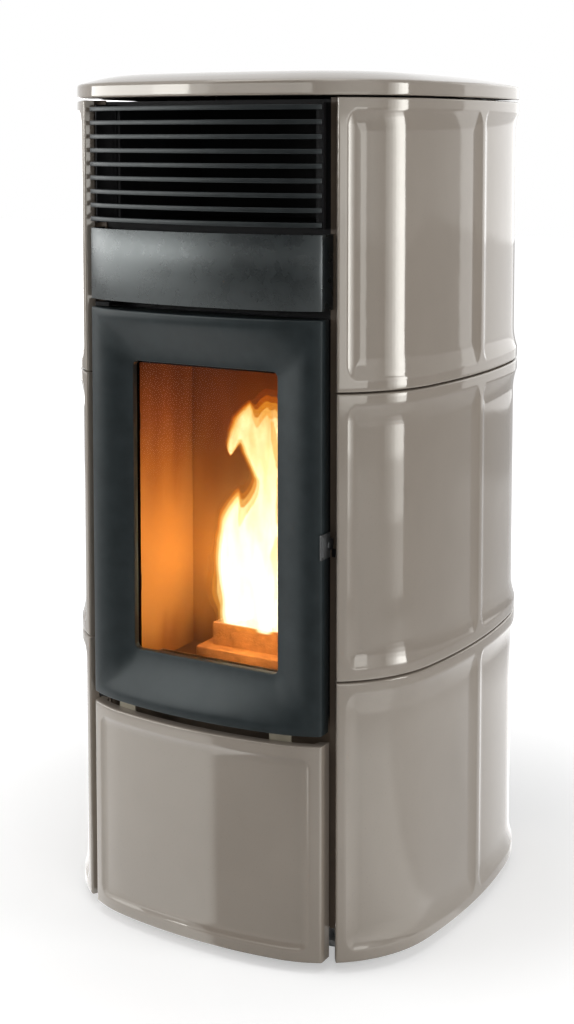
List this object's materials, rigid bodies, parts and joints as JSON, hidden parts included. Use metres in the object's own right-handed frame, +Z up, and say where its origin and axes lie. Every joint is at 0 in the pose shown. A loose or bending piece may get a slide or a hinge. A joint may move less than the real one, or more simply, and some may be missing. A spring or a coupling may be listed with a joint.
{
  "type": "pellet stove",
  "caption": "Tall pellet stove with curved ceramic side tiles, a glazed firebox door, a louvred warm-air grille, a top hopper lid and a rear flue outlet.",
  "frame": {"origin": "bottom centre of the bounding box, on the floor", "axes": "+Z up, -Y to the front where the door is, +X to the right seen from the front"},
  "size_m": [0.5598, 0.595, 1.1495],
  "materials": {
    "taupe_glaze": "glossy glaze",
    "brown_paint": "matt paint",
    "black_paint": "matt heat-proof paint",
    "anthracite_paint": "satin paint",
    "door_iron": "satin heat-proof paint",
    "latch_steel": "satin",
    "window_glass": "polished",
    "seal_rope": "woven glass fibre",
    "zinc_steel": "zinc plated",
    "stove_steel": "matt heat-proof paint",
    "fire_brick": "rough",
    "pot_iron": "rough casting",
    "igniter_ceramic": "unglazed",
    "motor_paint": "satin paint",
    "board_resin": "coated board",
    "black_plastic": "moulded"
  },
  "bodies": {
    "stove": {"right_lower_tile": "taupe_glaze", "right_middle_tile": "taupe_glaze", "right_upper_tile": "taupe_glaze", "left_lower_tile": "taupe_glaze", "left_middle_tile": "taupe_glaze", "left_upper_tile": "taupe_glaze", "top_cover": "taupe_glaze", "right_side_carrier": "brown_paint", "left_side_carrier": "brown_paint", "front_frame": "black_paint", "door_hinge_brackets": "black_paint", "grille_posts": "black_paint", "air_plenum": "black_paint", "rear_panel": "black_paint", "base_plate": "black_paint", "latch_keeper": "black_paint", "fascia_panel": "anthracite_paint", "grille_slats": "anthracite_paint", "tile_hooks": "zinc_steel", "levelling_feet": "zinc_steel", "lid_hinge_mounts": "zinc_steel", "board_bracket": "zinc_steel", "hopper": "zinc_steel", "hopper_grid": "zinc_steel", "room_fan_housing": "zinc_steel", "smoke_fan_housing": "zinc_steel", "auger_tube": "zinc_steel", "pellet_chute": "zinc_steel", "exchanger_tubes": "zinc_steel", "air_intake_pipe": "zinc_steel", "firebox_shell": "stove_steel", "exchanger_box": "stove_steel", "smoke_duct": "stove_steel", "flue_spigot": "stove_steel", "baffle_plate": "stove_steel", "side_linings": "fire_brick", "back_lining": "fire_brick", "brazier_holder": "pot_iron", "igniter": "igniter_ceramic", "auger_motor": "motor_paint", "smoke_fan_motor": "motor_paint", "room_fan_motor": "motor_paint", "control_board": "board_resin", "power_inlet": "black_plastic"},
    "door": {"door_frame": "door_iron", "door_glass": "window_glass", "glass_seal": "seal_rope", "glass_clips": "zinc_steel", "door_seal": "seal_rope"},
    "latch": {"door_latch": "latch_steel"},
    "lid": {"hopper_lid": "taupe_glaze", "lid_seal": "seal_rope"},
    "brazier": {"brazier": "pot_iron"},
    "ash_pan": {"ash_pan": "zinc_steel"},
    "auger": {"auger_screw": "zinc_steel"},
    "smoke_wheel": {"smoke_fan_wheel": "zinc_steel"},
    "room_wheel": {"room_fan_wheel": "zinc_steel"},
    "rocker": {"power_rocker": "black_plastic"},
    "front_panel": {"lower_front_panel": "taupe_glaze", "panel_brackets": "zinc_steel"}
  },
  "joints": [
    {"name": "door_swing", "type": "hinge", "parent": "stove", "child": "door", "pos_m": [-0.16, -0.25552, 0.5746], "axis": [0, 0, -1], "range_deg": [0, 100]},
    {"name": "latch_tilt", "type": "hinge", "parent": "door", "child": "latch", "pos_m": [0.1789, -0.25352, 0.555], "axis": [1, 0, 0], "range_deg": [0, 20], "stiffness_Nm_per_rad": 0.1, "springref_deg": -11.46},
    {"name": "lid_lift", "type": "hinge", "parent": "stove", "child": "lid", "pos_m": [0, 0.17048, 1.146], "axis": [-1, 0, 0], "range_deg": [0, 75]},
    {"name": "brazier_lift", "type": "slide", "parent": "stove", "child": "brazier", "axis": [0, 0, 1], "range_m": [0, 0.1]},
    {"name": "ash_pan_lift", "type": "slide", "parent": "stove", "child": "ash_pan", "axis": [0, 0, 1], "range_m": [0, 0.06]},
    {"name": "auger_turn", "type": "hinge", "parent": "stove", "child": "auger", "pos_m": [0, 0.14248, 0.47], "axis": [0, -0.7071, 0.7071], "continuous": true},
    {"name": "smoke_fan_turn", "type": "hinge", "parent": "stove", "child": "smoke_wheel", "pos_m": [0, 0.09252, 0.195], "axis": [1, 0, 0], "continuous": true},
    {"name": "room_fan_turn", "type": "hinge", "parent": "stove", "child": "room_wheel", "pos_m": [0, -0.17252, 0.15], "axis": [1, 0, 0], "continuous": true},
    {"name": "rocker_tilt", "type": "hinge", "parent": "stove", "child": "rocker", "pos_m": [0.156, 0.25152, 0.2], "axis": [1, 0, 0], "range_deg": [-16, 0]},
    {"name": "front_panel_pull", "type": "slide", "parent": "stove", "child": "front_panel", "axis": [0, -1, 0], "range_m": [0, 0.08]}
  ]
}
